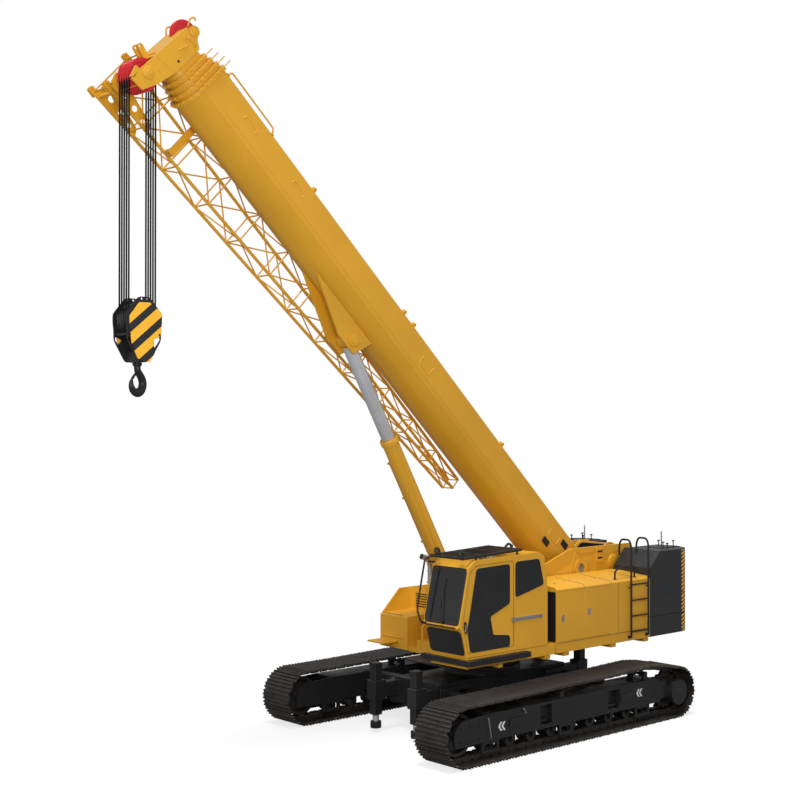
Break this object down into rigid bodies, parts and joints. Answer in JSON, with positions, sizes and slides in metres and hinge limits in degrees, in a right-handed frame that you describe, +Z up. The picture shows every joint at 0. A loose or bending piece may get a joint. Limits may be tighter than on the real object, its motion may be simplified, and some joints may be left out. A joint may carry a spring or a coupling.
{
  "type": "telescopic crawler crane",
  "caption": "Crawler crane with a telescopic boom raised, folded lattice jib beside it, a cab, a rear counterweight and a hook block hanging from the boom head.",
  "frame": {"origin": "on the ground under the slewing axis, midway between the crawlers", "axes": "+X forward over the cab's front, +Y to the left, the cab's side, +Z up"},
  "size_m": [11.83, 4.76, 11.49],
  "materials": {
    "crane_yellow": "satin",
    "undercarriage_black": "satin",
    "crawler_steel": "satin",
    "counterweight_grey": "satin",
    "engine_grey": "satin",
    "black_metal": "satin",
    "cab_glass": "polished",
    "chair_fabric": "matte",
    "bare_steel": "brushed",
    "rod_chrome": "polished",
    "sheave_red": "satin",
    "wire_rope": "brushed"
  },
  "bodies": {
    "base": {"carbody": "undercarriage_black", "support_jacks": "undercarriage_black"},
    "track_left": {"track_frame_left": "undercarriage_black", "track_loop_left": "crawler_steel", "track_wheels_left": "crawler_steel"},
    "track_right": {"track_frame_right": "undercarriage_black", "track_loop_right": "crawler_steel", "track_wheels_right": "crawler_steel"},
    "superstructure": {"turntable": "crane_yellow", "counterweight_slabs": "counterweight_grey", "counterweight_block": "counterweight_grey", "left_housing": "crane_yellow", "engine_housing": "crane_yellow", "engine_block": "engine_grey", "hydraulic_tank": "engine_grey", "walkways": "black_metal", "ladder_and_rails": "black_metal", "cab_shell": "crane_yellow", "cab_door": "crane_yellow", "cab_glass": "cab_glass", "cab_roof_guard": "black_metal", "operator_chair": "chair_fabric", "exhaust_pipe": "bare_steel", "boom_pin": "bare_steel", "lift_foot_pin": "bare_steel"},
    "main_winch": {"main_winch": "bare_steel"},
    "auxiliary_winch": {"auxiliary_winch": "bare_steel"},
    "left_door_front": {"left_door_front": "crane_yellow"},
    "left_door_rear": {"left_door_rear": "crane_yellow"},
    "right_door_front": {"right_door_front": "crane_yellow"},
    "right_door_rear": {"right_door_rear": "crane_yellow"},
    "boom_base": {"boom_base": "crane_yellow", "jib_brackets": "crane_yellow", "stowed_jib": "crane_yellow"},
    "boom_section_2": {"boom_section_2": "crane_yellow"},
    "boom_section_3": {"boom_section_3": "crane_yellow"},
    "boom_section_4": {"boom_section_4": "crane_yellow"},
    "boom_head": {"boom_head": "crane_yellow", "head_axle": "bare_steel"},
    "head_sheaves": {"head_sheaves": "sheave_red"},
    "guide_sheave": {"guide_sheave": "sheave_red"},
    "fall_line": {"hoist_falls": "wire_rope"},
    "hook_block": {"hook_block": "black_metal"},
    "block_sheaves": {"block_sheaves": "black_metal"},
    "hook": {"hook": "black_metal"},
    "lift_tube": {"lift_tube": "crane_yellow"},
    "lift_rod": {"lift_rod": "rod_chrome", "lift_piston": "bare_steel"}
  },
  "joints": [
    {"name": "crawler_left_gauge", "type": "slide", "parent": "base", "child": "track_left", "axis": [0, -1, 0], "range_m": [0, 0.88]},
    {"name": "crawler_right_gauge", "type": "slide", "parent": "base", "child": "track_right", "axis": [0, 1, 0], "range_m": [0, 0.88]},
    {"name": "slew", "type": "hinge", "parent": "base", "child": "superstructure", "pos_m": [0, 0, 0], "axis": [0, 0, 1], "continuous": true},
    {"name": "main_winch_turn", "type": "hinge", "parent": "superstructure", "child": "main_winch", "pos_m": [-2.95, 0, 2.25], "axis": [0, 1, 0], "continuous": true},
    {"name": "auxiliary_winch_turn", "type": "hinge", "parent": "superstructure", "child": "auxiliary_winch", "pos_m": [-3.2, 0, 2.78], "axis": [0, 1, 0], "continuous": true},
    {"name": "left_door_front_swing", "type": "hinge", "parent": "superstructure", "child": "left_door_front", "pos_m": [-1.1056, 1.5, 1.96], "axis": [0, 0, 1], "range_deg": [0, 95]},
    {"name": "left_door_rear_swing", "type": "hinge", "parent": "superstructure", "child": "left_door_rear", "pos_m": [-1.8416, 1.5, 1.96], "axis": [0, 0, 1], "range_deg": [0, 95]},
    {"name": "right_door_front_swing", "type": "hinge", "parent": "superstructure", "child": "right_door_front", "pos_m": [-1.3056, -1.5, 1.87], "axis": [0, 0, -1], "range_deg": [0, 95]},
    {"name": "right_door_rear_swing", "type": "hinge", "parent": "superstructure", "child": "right_door_rear", "pos_m": [-2.2996, -1.5, 1.87], "axis": [0, 0, -1], "range_deg": [0, 95]},
    {"name": "luff", "type": "hinge", "parent": "superstructure", "child": "boom_base", "pos_m": [-2.1, 0, 2.62], "axis": [0, -1, 0], "range_deg": [0, 36.3]},
    {"name": "telescope", "type": "slide", "parent": "boom_base", "child": "boom_section_2", "axis": [0.723, 0, 0.6909], "range_m": [0, 7.7]},
    {"name": "telescope_3", "type": "slide", "parent": "boom_section_2", "child": "boom_section_3", "axis": [0.723, 0, 0.6909], "range_m": [0, 7.7]},
    {"name": "telescope_4", "type": "slide", "parent": "boom_section_3", "child": "boom_section_4", "axis": [0.723, 0, 0.6909], "range_m": [0, 7.7]},
    {"name": "telescope_5", "type": "slide", "parent": "boom_section_4", "child": "boom_head", "axis": [0.723, 0, 0.6909], "range_m": [0, 7.7]},
    {"name": "head_sheaves_turn", "type": "hinge", "parent": "boom_head", "child": "head_sheaves", "pos_m": [7.19, 0, 10.5], "axis": [0, 1, 0], "continuous": true},
    {"name": "guide_sheave_turn", "type": "hinge", "parent": "boom_head", "child": "guide_sheave", "pos_m": [6.4, 0, 11.25], "axis": [0, 1, 0], "continuous": true},
    {"name": "fall_plumb", "type": "hinge", "parent": "boom_head", "child": "fall_line", "pos_m": [7.19, 0, 10.5], "axis": [0, -1, 0], "range_deg": [-36.3, 0]},
    {"name": "hoist", "type": "slide", "parent": "fall_line", "child": "hook_block", "axis": [0, 0, 1], "range_m": [-5.7, 2.2], "deforming": ["hoist_falls"]},
    {"name": "block_sheaves_turn", "type": "hinge", "parent": "hook_block", "child": "block_sheaves", "pos_m": [7.19, 0, 6.915], "axis": [0, 1, 0], "continuous": true},
    {"name": "hook_swivel", "type": "hinge", "parent": "hook_block", "child": "hook", "pos_m": [7.19, 0, 6], "axis": [0, 0, 1], "continuous": true},
    {"name": "lift_foot", "type": "hinge", "parent": "superstructure", "child": "lift_tube", "pos_m": [0.37, 0, 1.75], "axis": [0, -1, 0], "range_deg": [0, 34.52]},
    {"name": "lift_extend", "type": "slide", "parent": "lift_tube", "child": "lift_rod", "axis": [0.4917, 0, 0.8708], "range_m": [0, 1.6198]}
  ],
  "couplings": [
    {"joint": "telescope_3", "follows": "telescope", "ratio": 1},
    {"joint": "telescope_4", "follows": "telescope", "ratio": 1},
    {"joint": "telescope_5", "follows": "telescope", "ratio": 1},
    {"joint": "fall_plumb", "follows": "luff", "ratio": -1},
    {"joint": "lift_foot", "follows": "luff", "ratio": 0.95081},
    {"joint": "lift_extend", "follows": "luff", "m_per_rad": 2.5551}
  ]
}
